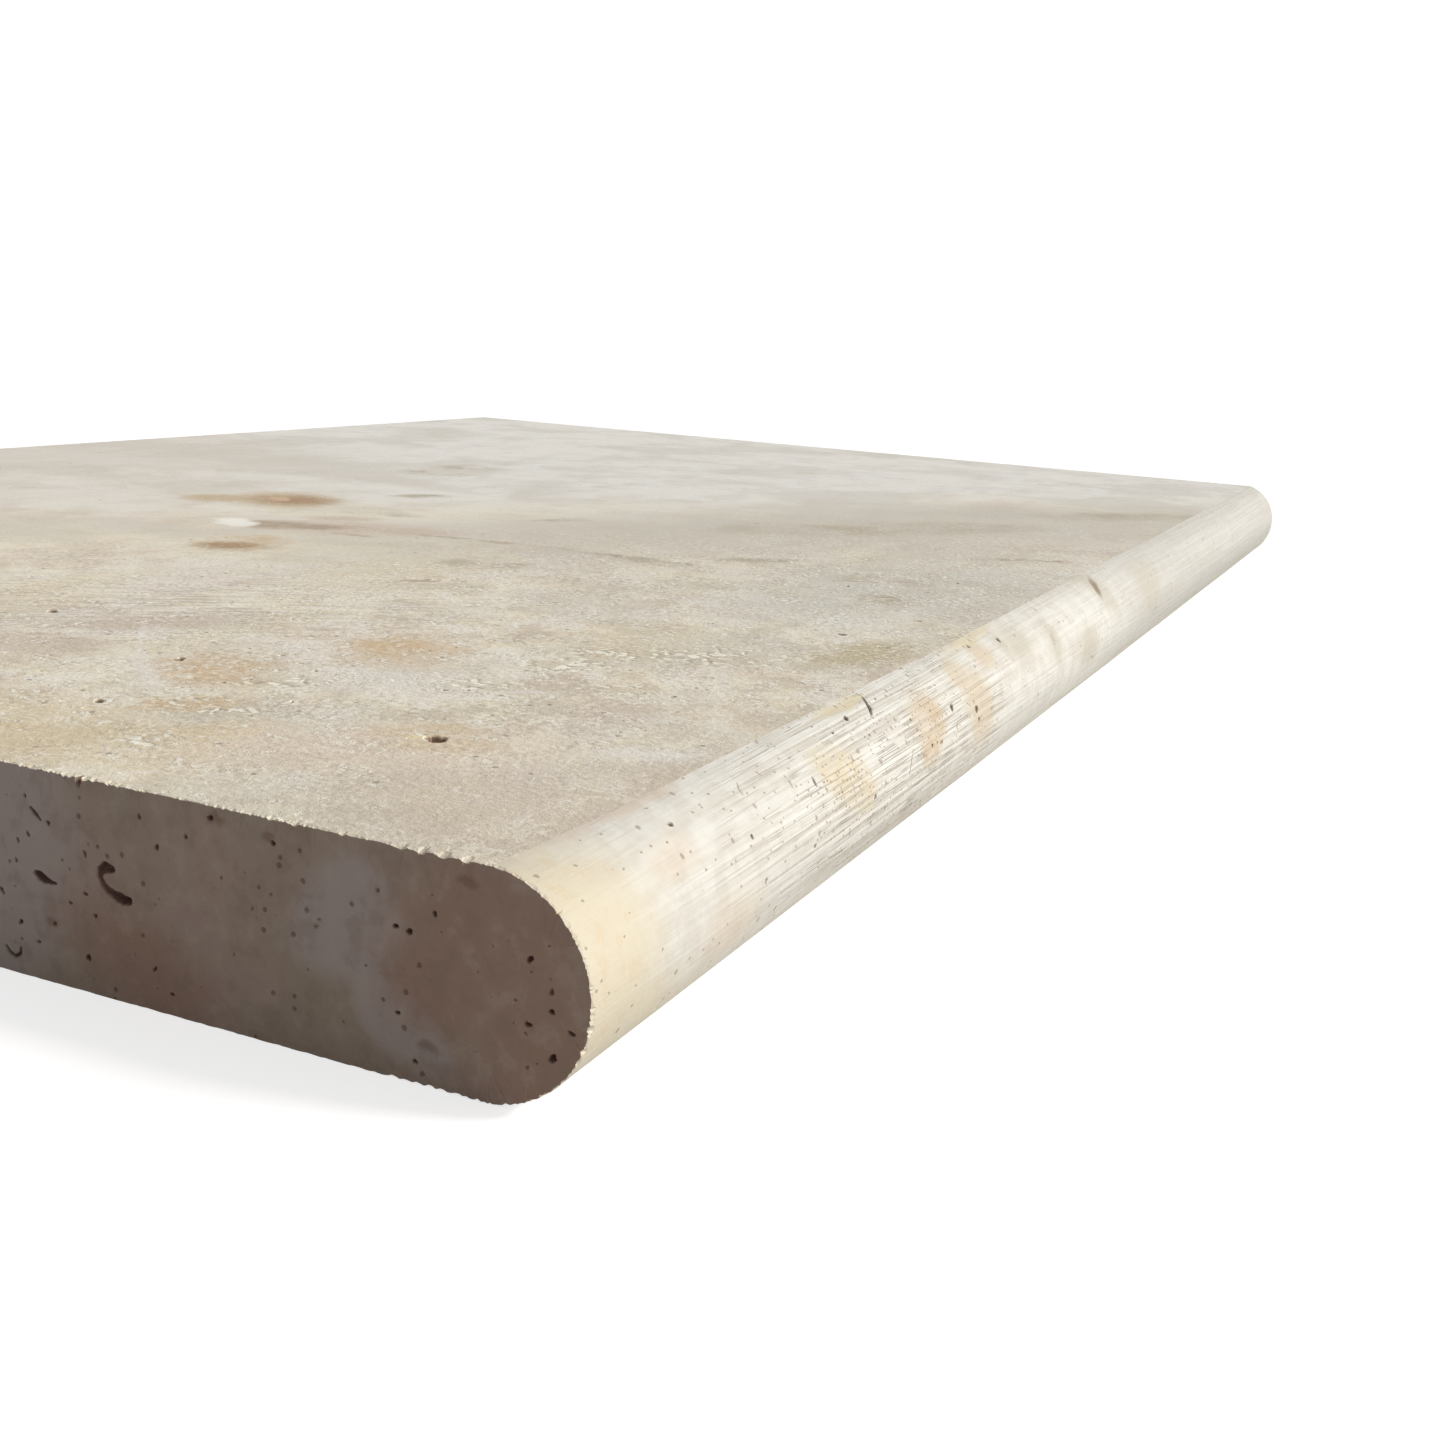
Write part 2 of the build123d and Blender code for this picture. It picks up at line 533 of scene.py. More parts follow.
top_pits = [
    (-261.7, -152.1, 4.7, 3.5, 35, 1.8), (-243.3, -87.0, 3.3, 2.3, 50, 1.5),
    (-273.2, -98.3, 2.8, 1.8, 50, 1.2), (-225.6, -39.7, 3.4, 2.2, 50, 1.3),
    (-248.0, -106.0, 1.8, 1.0, 120, 0.6), (-252.4, -104.4, 1.5, 0.9, 120, 0.6),
    (-230.3, -98.4, 1.7, 1.0, 150, 0.6), (-228.6, -99.6, 1.3, 0.9, 150, 0.5),
    (-236.5, -110.6, 1.4, 1.0, 30, 0.6), (-256.3, -121.5, 1.3, 0.9, 30, 0.5),
    (-143.9, -171.0, 3.4, 1.5, 60, 0.8), (-84.6, -150.0, 2.0, 1.3, 20, 0.7),
    (-60.5, -170.0, 2.2, 1.4, 20, 0.7), (-224.3, -61.8, 1.3, 0.7, 127, 0.5),
    (-222.9, -98.0, 1.6, 0.9, 127, 0.6), (-233.5, -104.9, 1.3, 0.8, 127, 0.5),
    (-202.5, -78.5, 1.2, 0.9, 127, 0.5), (-257.7, -106.5, 1.1, 0.8, 127, 0.5),
    (-267.1, -122.2, 1.2, 0.9, 127, 0.5), (-234.9, -135.7, 1.6, 1.1, 127, 0.6),
    (-232.7, -138.6, 1.4, 1.0, 127, 0.5), (-233.4, -154.4, 1.2, 0.9, 127, 0.5),
    (-202.2, -152.6, 1.4, 1.0, 127, 0.6), (-215.6, -168.1, 1.5, 1.3, 127, 0.7),
    (-207.4, -168.3, 1.1, 0.9, 127, 0.5), (-242.0, -172.0, 1.0, 0.8, 127, 0.4),
    (-186.0, -160.8, 1.8, 0.9, 127, 0.5), (-150.8, -144.6, 1.6, 1.0, 127, 0.5),
    (-143.2, -164.9, 1.4, 0.8, 127, 0.5), (-118.1, -178.9, 2.2, 1.0, 127, 0.6),
    (-151.5, -183.0, 3.0, 1.0, 127, 0.6),
]

faces["near_end"].hollows += [Worm(places, spacing) for spacing, places in end_worms]
faces["near_end"].hollows += [pit(*sizes) for sizes in end_pits]
faces["nose"].hollows += [Worm(up_the_nose(places), spacing) for spacing, places in nose_worms]
faces["nose"].hollows += [pit(*sizes) for sizes in up_the_nose(nose_pits)]
faces["top"].hollows += [pit(*sizes) for sizes in top_pits]


def nose_clusters(u, v):
    """The nose is most porous about a third of the way along."""
    band = math.exp(-(((u + 190) / 36) ** 2))
    return 0.05 + 0.95 * band * (0.55 + 0.45 * float(wander2(u, v, 81, 9)))


def top_clusters(u, v):
    """The top is most porous towards the nose's near half, and hardly at all far off."""
    away = 0.64 * u + 0.77 * v
    return 0.12 + 0.88 * math.exp(-(((away + 215) / 55) ** 2))


nose_reach = float(crease_arc.min())
scatter(faces["near_end"], 150, ((tip + 16, back - 3), (2.5, top - 2.5)), (0.35, 1.0), (0.6, 1.0), (0, 180))
scatter(faces["near_end"], 14, ((tip + 4, tip + 16), (5, top - 5)), (0.35, 0.7), (0.6, 1.0), (0, 180))
scatter(
    faces["nose"], 330, ((near + 3, far - 3), (1 - nose_reach, nose_reach - 1)),
    (0.28, 0.85), (0.5, 0.9), (-20, 60), nose_clusters,
)
scatter(
    faces["top"], 60, ((near + 6, far - 4), (tip + 20, back - 4)),
    (0.5, 1.6), (0.45, 0.8), (90, 160), top_clusters,
)
scatter(faces["far_end"], 90, ((tip + 16, back - 3), (2.5, top - 2.5)), (0.6, 2.6), (0.4, 0.9), (0, 180))
scatter(faces["back"], 130, ((near + 4, far - 4), (3, top - 3)), (0.6, 3.4), (0.35, 0.8), (0, 180))
scatter(faces["bottom"], 130, ((near + 4, far - 4), (tip + 20, back - 4)), (0.8, 4.0), (0.4, 0.8), (0, 180))


# Points inside each face

def inset_rows(outline, beside, offsets, every=1, chips=None):
    """Rows of points beside the part of an outline where `beside` holds, at each offset.

    Where the reach of the chips is given, rows follow their slope and their far side too.
    """
    ahead = np.roll(outline, -1, axis=0) - np.roll(outline, 1, axis=0)
    inward = np.column_stack([-ahead[:, 1], ahead[:, 0]]) / np.linalg.norm(ahead, axis=1)[:, None]
    keep = beside(outline)
    start, inward = outline[keep][::every], inward[keep][::every]
    if chips is None:
        return np.concatenate([start + offset * inward for offset in offsets])
    reach = chips[keep][::every][:, None]
    rows = [start + share * reach * inward for share in (0.4, 0.75, 1.0)]
    return np.concatenate(rows + [start + (reach + offset) * inward for offset in offsets])


def lattice(u_range, v_range, step_u, step_v):
    u = np.arange(u_range[0] + step_u / 2, u_range[1], step_u)
    v = np.arange(v_range[0] + step_v / 2, v_range[1], step_v)
    grid_u, grid_v = np.meshgrid(u, v)
    return np.column_stack([grid_u.ravel(), grid_v.ravel()])


def clear_of_hollows(points, face):
    keep = np.ones(len(points), bool)
    for hollow in face.hollows:
        close = np.abs(points - hollow.centre).max(axis=1) < 2 * hollow.reach + 1
        close &= keep
        if close.any():
            share = hollow.depth(points[close])[1]
            keep[np.flatnonzero(close)[share < 1.6]] = False
    return points[keep]


# Rows beside the edges, the spacing of the points inside each face, the notch's own points, how
# far inner points stay from edges and from other points, how close points are welded, and the
# angle in degrees over which an edge looks sharp
near_offsets = (0.22, 0.6, 1.2)
cap_offsets = (0.1, 0.3, 0.7)
far_offsets = (0.45, 0.9, 1.6)
crease_offsets = (0.5, 1.2, 2.4)
flat_spacing = (9, 9)
nose_spacing = (2.2, 0.95)
back_spacing = (8, 6)
end_spacing = (6, 5)
notch_spacing = (0.15, 0.15)
notch_sides = (notch_place - 0.9, notch_place + 0.9)
notch_mesh_reach = (1.3, 2.3)
edge_clear = 3
least_gap = 0.09
weld_reach = 0.002
sharp_angle = 11


def chip_reach(outline, slope, place):
    """How far the near end's chips reach into a face from each point of its outline."""
    points = place(outline)
    return near_chips(ring_frame(points)[2], points[:, 2]) / slope


def inner_points(name):
    """Points inside a face: rows beside its edges, a coarse lattice, and those of its hollows."""
    outline = outlines[name]
    face = faces[name]
    if name in ("top", "bottom"):
        reach = chip_reach(outline, near_slope, face.place)
        rows = [
            inset_rows(outline, lambda p: p[:, 0] == near, near_offsets, 1, reach),
            inset_rows(outline, lambda p: p[:, 0] == far, far_offsets),
            inset_rows(outline, lambda p: p[:, 1] == back, far_offsets),
            inset_rows(outline, lambda p: p[:, 1] < near_crease + 1, crease_offsets, 2),
        ]
        across = (near_crease + edge_clear, back - edge_clear)
        base = lattice((near + edge_clear, far - edge_clear), across, *flat_spacing)
        if name == "top":
            rows.append(lattice((near, near + notch_mesh_reach[0]), notch_sides, *notch_spacing))
    elif name == "nose":
        reach = chip_reach(outline, near_slope, face.place)
        rows = [
            inset_rows(outline, lambda p: p[:, 0] == near, near_offsets, 1, reach),
            inset_rows(outline, lambda p: p[:, 0] == far, far_offsets),
        ]
        base = lattice((near + 3, far - 2.5), (-nose_reach + 0.6, nose_reach - 0.6), *nose_spacing)
    elif name == "back":
        rows = [
            inset_rows(outline, lambda p: (p[:, 1] == 0) | (p[:, 1] == top), far_offsets),
            inset_rows(outline, lambda p: (p[:, 0] == near) | (p[:, 0] == far), far_offsets),
        ]
        base = lattice((near + edge_clear, far - edge_clear), (edge_clear, top - edge_clear), *back_spacing)
    else:
        base = lattice((tip + 12, back - edge_clear), (edge_clear, top - edge_clear), *end_spacing)
        if name == "near_end":
            reach = chip_reach(outline[::-1], 1, face.place)
            rows = [
                inset_rows(outline[::-1], lambda p: p[:, 1] >= 0, cap_offsets, 1, reach),
                lattice(notch_sides, (top - notch_mesh_reach[1], top), *notch_spacing),
            ]
        else:
            rows = [inset_rows(outline[::-1], lambda p: p[:, 1] >= 0, far_offsets)]
    base = np.concatenate(rows + [base])
    hollows = np.concatenate([hollow.points() for hollow in face.hollows])
    return np.concatenate([clear_of_hollows(base, face), hollows])


def inside(points, outline, margin):
    """Keeps the points that lie inside an outline, at least `margin` from its corner points."""
    x, y = points.T
    crossed = np.zeros(len(points), bool)
    for (x0, y0), (x1, y1) in zip(outline, np.roll(outline, -1, axis=0)):
        if y0 != y1:
            spans = (y0 > y) != (y1 > y)
            crossed ^= spans & (x < x0 + (y - y0) * (x1 - x0) / (y1 - y0))
    points = points[crossed]
    corners = KDTree(len(outline))
    for i, corner in enumerate(outline):
        corners.insert((*corner, 0), i)
    corners.balance()
    clear = [corners.find((*point, 0))[2] > margin for point in points]
    return points[np.array(clear, bool)]


def build_face(name):
    """Triangles over one face, with its hollows pressed in and its edges chipped."""
    face = faces[name]
    outline = outlines[name]
    inner = inside(inner_points(name), outline, least_gap)
    layout = np.concatenate([outline, inner])
    count = len(outline)
    loop = [(i, (i + 1) % count) for i in range(count)]
    laid_out = delaunay_2d_cdt([Vector(p) for p in layout], loop, [], 1, 1e-5)
    triangles, origins = laid_out[2:4]
    uv = layout[[min(source) for source in origins]]
    points = face.place(uv)
    normals = face.normal(uv)
    sunk = np.zeros(len(uv))
    for hollow in face.hollows:
        close = np.flatnonzero(np.abs(uv - hollow.centre).max(axis=1) < 2 * hollow.reach + 1)
        if len(close):
            sunk[close] = np.maximum(sunk[close], hollow.depth(uv[close])[0])
    on_outline = np.array([min(source) < count for source in origins])
    sunk[on_outline] = 0
    worn = np.zeros(len(uv))
    if name == "nose":
        radius, angle = nose_arc(uv[:, 0])
        fade = smooth(radius * angle - np.abs(uv[:, 1]), 0, 3) * smooth(uv[:, 0] - near, 0, 4)
        fade *= smooth(far - uv[:, 0], 0, 4)
        worn = fade * (0.06 + 0.035 * wander2(uv[:, 0] / 12, uv[:, 1], 91, 4.5))
    broken, chip, in_notch = chipped(points)
    points = broken - normals * (sunk + worn)[:, None]
    sunk[in_notch] = chip[in_notch]
    chip[in_notch] = 0
    order = (0, 2, 1) if face.flip else (0, 1, 2)
    triangles = [tuple(triangle[i] for i in order) for triangle in triangles]
    return points, triangles, sunk, chip


# The ends' chips show the pale stone of the top and nose, but for small ones and the back corners
chip_shown = 0.02
corner_clear = 1.5


def build_stone():
    """The stone as one closed mesh, welded from its faces."""
    points, triangles, sunk, chip, finishes = [], [], [], [], []
    for name, face in faces.items():
        face_points, face_triangles, face_sunk, face_chip = build_face(name)
        base = sum(len(p) for p in points)
        points.append(face_points)
        sunk.append(face_sunk)
        chip.append(face_chip)
        pale_chip = (face_chip > chip_shown) & (face_points[:, 1] < back - corner_clear)
        for triangle in face_triangles:
            triangles.append(tuple(base + i for i in triangle))
            is_chip = name in ("near_end", "far_end") and all(pale_chip[i] for i in triangle)
            finishes.append(honed if is_chip else face.finish)
    mesh = bpy.data.meshes.new("coping_stone_dressed")
    mesh.from_pydata(np.concatenate(points) * MM, [], triangles)
    mesh.polygons.foreach_set("material_index", finishes)
    for name, values in (("sunk", sunk), ("chip", chip)):
        values = np.concatenate(values).astype(np.float32)
        mesh.attributes.new(name, "FLOAT", "POINT").data.foreach_set("value", values)
    shape = bmesh.new()
    shape.from_mesh(mesh)
    open_points = [v for v in shape.verts if v.is_boundary]
    bmesh.ops.remove_doubles(shape, verts=open_points, dist=weld_reach * MM)
    shape.to_mesh(mesh)
    shape.free()
    mesh.shade_smooth()
    mesh.set_sharp_from_angle(angle=math.radians(sharp_angle))
    stone = bpy.data.objects.new("dressed_coping_stone", mesh)
    bpy.context.scene.collection.objects.link(stone)
    return stone


stone = build_stone()
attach(stone, "root")
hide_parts("coping_stone")

# The stone's look, in millimetres of the stone itself

def linear(red, green, blue):
    """A screen colour, 0 to 255, as the linear colour that shaders take."""
    shares = [level / 255 for level in (red, green, blue)]
    return (*(s / 12.92 if s < 0.04045 else ((s + 0.055) / 1.055) ** 2.4 for s in shares), 1.0)


class Graph:
    """Short calls that add shader nodes and hand back their outputs.

    Its noise is made in the plane or in space, by `dimensions`, which is 2D or 3D.
    """

    def __init__(self, material, dimensions):
        material.use_nodes = True
        self.dimensions = dimensions
        self.tree = material.node_tree
        self.shader = self.tree.nodes["Principled BSDF"]
        self.turns = {}
        self.colour = None

    def feed(self, socket, value):
        if isinstance(value, bpy.types.NodeSocket):
            self.tree.links.new(value, socket)
        else:
            socket.default_value = value

    def shade(self, inputs, node=None):
        """Feeds values into the named inputs of a node, or else of the material's own shader."""
        for key, value in inputs.items():
            self.feed((node or self.shader).inputs[key], value)

    def node(self, kind, inputs=(), output=0, **settings):
        node = self.tree.nodes.new("ShaderNode" + kind)
        for name, value in settings.items():
            setattr(node, name, value)
        self.shade(dict(inputs), node)
        return node.outputs[output]

    def math(self, operation, *values):
        return self.node("Math", enumerate(values), operation=operation)

    def vector(self, operation, *values, output=0):
        return self.node("VectorMath", enumerate(values), output, operation=operation)

    def add(self, *values):
        total = values[0]
        for value in values[1:]:
            total = self.math("ADD", total, value)
        return total

    def times(self, *values):
        total = values[0]
        for value in values[1:]:
            total = self.math("MULTIPLY", total, value)
        return total

    def most(self, values):
        total = values[0]
        for value in values[1:]:
            total = self.math("MAXIMUM", total, value)
        return total

    def step(self, value, start, end):
        """0 at `start`, 1 at `end`, and a smooth step between."""
        inputs = {"Value": value, "From Min": start, "From Max": end}
        return self.node("MapRange", inputs, interpolation_type="SMOOTHSTEP")

    def spread(self, value, low, high):
        inputs = {"Value": value, "To Min": low, "To Max": high}
        return self.node("MapRange", inputs)

    def noise(self, place, size, detail=2.0, rough=0.5):
        inputs = {"Vector": place, "Scale": 1 / size, "Detail": detail, "Roughness": rough}
        return self.node("TexNoise", inputs, noise_dimensions=self.dimensions)

    def mix(self, share, colour_a, colour_b):
        return self.node("Mix", {0: share, 6: colour_a, 7: colour_b}, 2, data_type="RGBA")

    def coat(self, tone, *shares):
        """Lays a screen colour over the stone's colour so far, by the product of `shares`."""
        self.colour = self.mix(self.times(*shares), self.colour, linear(*tone))

    def warp(self, place, size, reach, detail=2.0):
        """The same place in the plane, shifted at random by up to about half of `reach`."""
        elsewhere = self.vector("ADD", place, (400, 300, 0))
        shifts = [self.noise(at, size, detail) for at in (place, elsewhere)]
        swing = self.node("CombineXYZ", {0: shifts[0], 1: shifts[1], 2: 0.5})
        swing = self.vector("SUBTRACT", swing, (0.5, 0.5, 0.5))
        return self.vector("MULTIPLY_ADD", swing, (reach, reach, reach), place)

    def stretched(self, place, x, y, z):
        return self.vector("MULTIPLY", place, (1 / x, 1 / y, 1 / z))

    def turned(self, place, turn):
        """The place along axes turned by `turn` degrees in the plane, made once and used again."""
        key = (place.node.name, turn)
        if key not in self.turns:
            cos_turn, sin_turn = math.cos(math.radians(turn)), math.sin(math.radians(turn))
            ahead = self.vector("DOT_PRODUCT", place, (cos_turn, sin_turn, 0), output=1)
            aside = self.vector("DOT_PRODUCT", place, (-sin_turn, cos_turn, 0), output=1)
            self.turns[key] = self.node("CombineXYZ", {0: ahead, 1: aside, 2: 0.0})
        return self.turns[key]

    def spot(self, place, u, v, half_u, half_v, turn=0, soft=0.3):
        """1 inside an oval of the plane and 0 outside it."""
        if turn:
            cos_turn, sin_turn = math.cos(math.radians(turn)), math.sin(math.radians(turn))
            place = self.turned(place, turn)
            u, v = cos_turn * u + sin_turn * v, cos_turn * v - sin_turn * u
        local = self.vector("MULTIPLY", place, (1 / half_u, 1 / half_v, 0))
        centre = (u / half_u, v / half_v, 0)
        return self.step(self.vector("DISTANCE", local, centre, output=1), 1 + soft, 1 - soft)

    def spots(self, place, ovals, soft=0.6):
        inside = 0.0
        for oval in ovals:
            inside = self.math("MAXIMUM", self.spot(place, *oval, soft=soft), inside)
        return inside

    def streaks(self, place, marks):
        """1 along thin ovals that run from place to place, to the nearest 10 degrees."""
        ovals = []
        for x0, y0, x1, y1, half_wide in marks:
            half_long = math.hypot(x1 - x0, y1 - y0) / 2 + half_wide
            turn = 10 * round(math.degrees(math.atan2(y1 - y0, x1 - x0)) / 10)
            ovals.append(((x0 + x1) / 2, (y0 + y1) / 2, half_long, half_wide, turn))
        return self.spots(place, ovals)

    def pores(self, place, spacing, size, share):
        """Round pores at random: 1 inside. About `share` of the cells of `spacing` have one."""
        inputs = {"Vector": place, "Scale": 1 / spacing}
        distance = self.node("TexVoronoi", inputs, voronoi_dimensions=self.dimensions)
        pick = self.node("SeparateColor", {0: distance.node.outputs["Color"]})
        chosen = self.math("LESS_THAN", pick, share)
        return self.times(chosen, self.step(distance, size / spacing, 0.55 * size / spacing))

    def attribute(self, name):
        return self.node("Attribute", output=2, attribute_name=name)


# Marks on the top as streaks from place to place: x, y, x, y and half width
brown_veins = [
    (-88, -6, -87, -34, 1.5), (-87, -30, -84, -48, 1.3), (-84.5, -46, -82, -70, 1.2),
    (-82, -68, -83.5, -90, 1.4), (-83.5, -88, -81, -112, 1.2), (-102, -12, -100, -20, 1.6),
    (-80, -145, -68, -159, 1.0), (-63, -165, -55, -175, 1.6), (-96, -158, -92, -164, 1.6),
    (-153, -66, -142, -78.5, 1.6), (-244.5, -58, -241.5, -62, 0.7), (-181, -42.5, -173, -53, 1.0),
    (-188.4, -173.5, -193, -186, 0.4), (-16, -161, -5, -173, 2.2), (-4, -177, 2, -184, 2.0),
]
pale_veins = [
    (-224, -60.5, -240, -75.5, 0.7), (-240, -75, -247, -83, 0.9), (-247, -82, -262.5, -99.5, 1.2),
    (-261.4, -73.6, -244, -76, 0.5), (-236, -37, -219, -42.5, 0.6),
    (-163.5, -160, -142.6, -163.2, 0.6), (-213.6, -130.8, -200, -135.6, 0.35),
    (-252, -178, -249, -186.5, 1.6), (-230, -144.5, -227, -148, 1.3),
]


def paint_patches(g, flat_place, bent, curled, shaken, mottle, veil):
    """The top's cream, pink, tan and rust patches, its smudges and veins, where the photo has them."""
    cream = g.spots(bent, [
        (-290, -116, 13, 20), (-278, -126, 10, 5), (-246, -12, 14, 20), (-288, -92, 14, 26),
    ])
    g.coat((223, 206, 171), cream, 0.7)
    yellow = g.spots(curled, [(-297, -102, 9, 14), (-288, -112, 7, 5), (-280, -122, 6, 4)])
    g.coat((207, 187, 148), yellow, 0.6)
    faint = g.spots(bent, [
        (-225, -31, 22, 8), (-204, -20, 26, 8), (-215, -78, 22, 6), (-150, -60, 30, 14),
        (-178, -140, 22, 12),
    ])
    g.coat((220, 206, 168), faint, 0.4)
    pink = g.spots(bent, [
        (-270, -190, 28, 4), (-236, -166, 14, 6), (-250, -58, 9, 14), (-218, -146, 8, 5),
        (-284, -164, 10, 8), (-222, -62, 7, 20, 50), (-282, -174, 20, 13),
    ])
    g.coat((199, 182, 164), pink, 0.7)
    pale_zone = g.spots(bent, [
        (-238, -123, 18, 9, -52), (-251, -181, 12, 5, -52), (-252, -92, 12, 5, 50),
    ])
    g.coat((233, 228, 218), pale_zone, 0.6)
    tan = g.spots(curled, [
        (-246, -97, 15, 10, 50), (-212, -111, 12, 15, -52), (-266, -110, 9, 5, -52), (-124, -5, 5, 9),
    ])
    uneven = g.spread(g.step(mottle, 0.40, 0.56), 1.0, 0.65)
    g.coat((205, 182, 146), tan, uneven)
    orange = g.spots(curled, [
        (-211, -110, 10, 6, -52), (-247, -97, 9, 7, 50), (-267, -110, 6, 4, -52),
    ])
    g.coat((211, 176, 131), orange, uneven, 0.55)
    olive = g.streaks(shaken, [(-268, -150, -263, -162, 1.7)])
    olive = g.most([olive, g.spot(curled, -160, -181.5, 19, 8, -15, 0.5)])
    g.coat((188, 174, 137), olive, 0.9)
    halo = g.spots(curled, [(-259.5, -148.5, 8, 5, -52), (-263.5, -155.5, 9, 3.4, -52)], 0.5)
    g.coat((200, 180, 138), halo, 0.85)
    warm = g.spot(bent, -272, -146, 26, 12, -52, 0.6)
    g.coat((232, 209, 187), warm, 0.45)
    g.coat((240, 224, 176), g.spot(shaken, -262.6, -149, 1.6, 1.5, 0, 0.5), 0.9)
    smudges = g.spots(bent, [
        (-116, -74.5, 3, 5, 50), (-62, -117, 12, 4, -52), (-70, -153, 8, 10), (-98, -163, 6, 8),
        (-84, -93, 4, 14), (-58, -1, 4, 6), (28, -118, 52, 13, -40), (-33, -40, 3, 8, 50),
        (-14, 21, 4, 9, 50), (130, -172, 30, 10, -40), (60, 60, 20, 12), (-121, -62, 5, 6),
    ], 0.55)
    smudges = g.times(smudges, g.spread(g.step(veil, 0.42, 0.58), 1.0, 0.4))
    g.coat((177, 165, 142), smudges)
    veins = g.streaks(curled, brown_veins)
    broken_up = g.spread(g.step(g.noise(flat_place, 9, 2, 0.5), 0.44, 0.56), 0.15, 1.0)
    veins = g.times(veins, broken_up)
    g.coat((158, 132, 106), veins, 0.75)
    dusky = g.spots(bent, [(-92, -7, 16, 12, -52), (-76, 5, 9, 5, -52), (-84, -24, 12, 8, -52)])
    g.coat((196, 172, 150), dusky, 0.6)
    dark = g.spots(curled, [(-100, 10, 10, 8, -52), (-96, 0, 9, 5, -52)], 0.5)
    g.coat((152, 128, 96), dark, 0.8)
    white = g.spot(curled, -103.6, 20, 9, 5, 50, 0.4)
    g.coat((252, 249, 240), white, 0.95)
    brown = g.spots(curled, [(-55, 43, 16, 18, -52), (-137, -8, 10, 8, -52), (-66, 57, 12, 9, -52)], 0.5)
    g.coat((190, 166, 124), brown, 0.9)
    rust = g.spots(curled, [(-54, 40, 11, 11, -52), (-137.5, -7, 7, 5, -52)])
    g.coat((152, 114, 62), rust, 0.95)
    g.coat((214, 180, 140), g.spot(curled, -54.4, 45, 3, 5, -52, 0.6), 0.7)


def paint_crumbs(g, flat_place, curled, shaken, crisp):
    """The top's bright flakes and crumbs, partly pale grains and partly painted highlight, with painted
    shadows beside them, and dark specks. Gives the flakes.
    """
    patches = g.noise(flat_place, 7, 3, 0.6)
    behind = g.vector("ADD", flat_place, (-0.5, 0.6, 0))
    flakes, beside = (g.step(g.noise(at, 2.1, 3, 0.65), 0.575, 0.62) for at in (flat_place, behind))
    flaky = g.times(g.step(patches, 0.47, 0.60), crisp)
    beside = g.times(beside, g.math("SUBTRACT", 1.0, flakes), flaky)
    flakes = g.times(flakes, flaky)
    crumbs_and_highlights = g.spots(shaken, [
        (-267.5, -116.5, 7, 2.6, -52), (-288, -120, 3, 3), (-245, -112, 9, 4.5, -52),
        (-228, -138, 8, 5, -52), (-205, -142, 9, 6, -52), (-190, -146, 12, 6, -52),
        (-180, -162, 12, 8, -52), (-216, -160, 6, 4, -52),
    ])
    g.coat((194, 180, 148), crumbs_and_highlights, 0.3)
    beyond = g.vector("ADD", curled, (-0.8, 0.4, 0))
    raised, crumb_shadow_spots = (g.pores(at, 1.9, 1.0, 0.42) for at in (curled, beyond))
    shade = g.times(crumbs_and_highlights, crumb_shadow_spots, g.math("SUBTRACT", 1.0, raised))
    crumbs_and_highlights = g.times(crumbs_and_highlights, raised)
    # Painted shadows beside the flakes, then the flakes, partly pale grains and partly painted highlight
    # where relief catches the light.
    g.coat((154, 138, 117), beside, 0.4)
    g.coat((252, 248, 235), flakes, 0.8)
    # Painted shadows of the raised crumbs, then the crumbs, partly pale grains and partly painted highlight
    # where they catch the light.
    g.coat((142, 126, 104), shade, 0.6)
    g.coat((255, 252, 238), crumbs_and_highlights, 0.95)
    specks = g.pores(flat_place, 3.1, 0.6, g.times(g.step(patches, 0.50, 0.64), crisp, 0.15))
    g.coat((122, 104, 86), specks, 0.7)
    return flakes


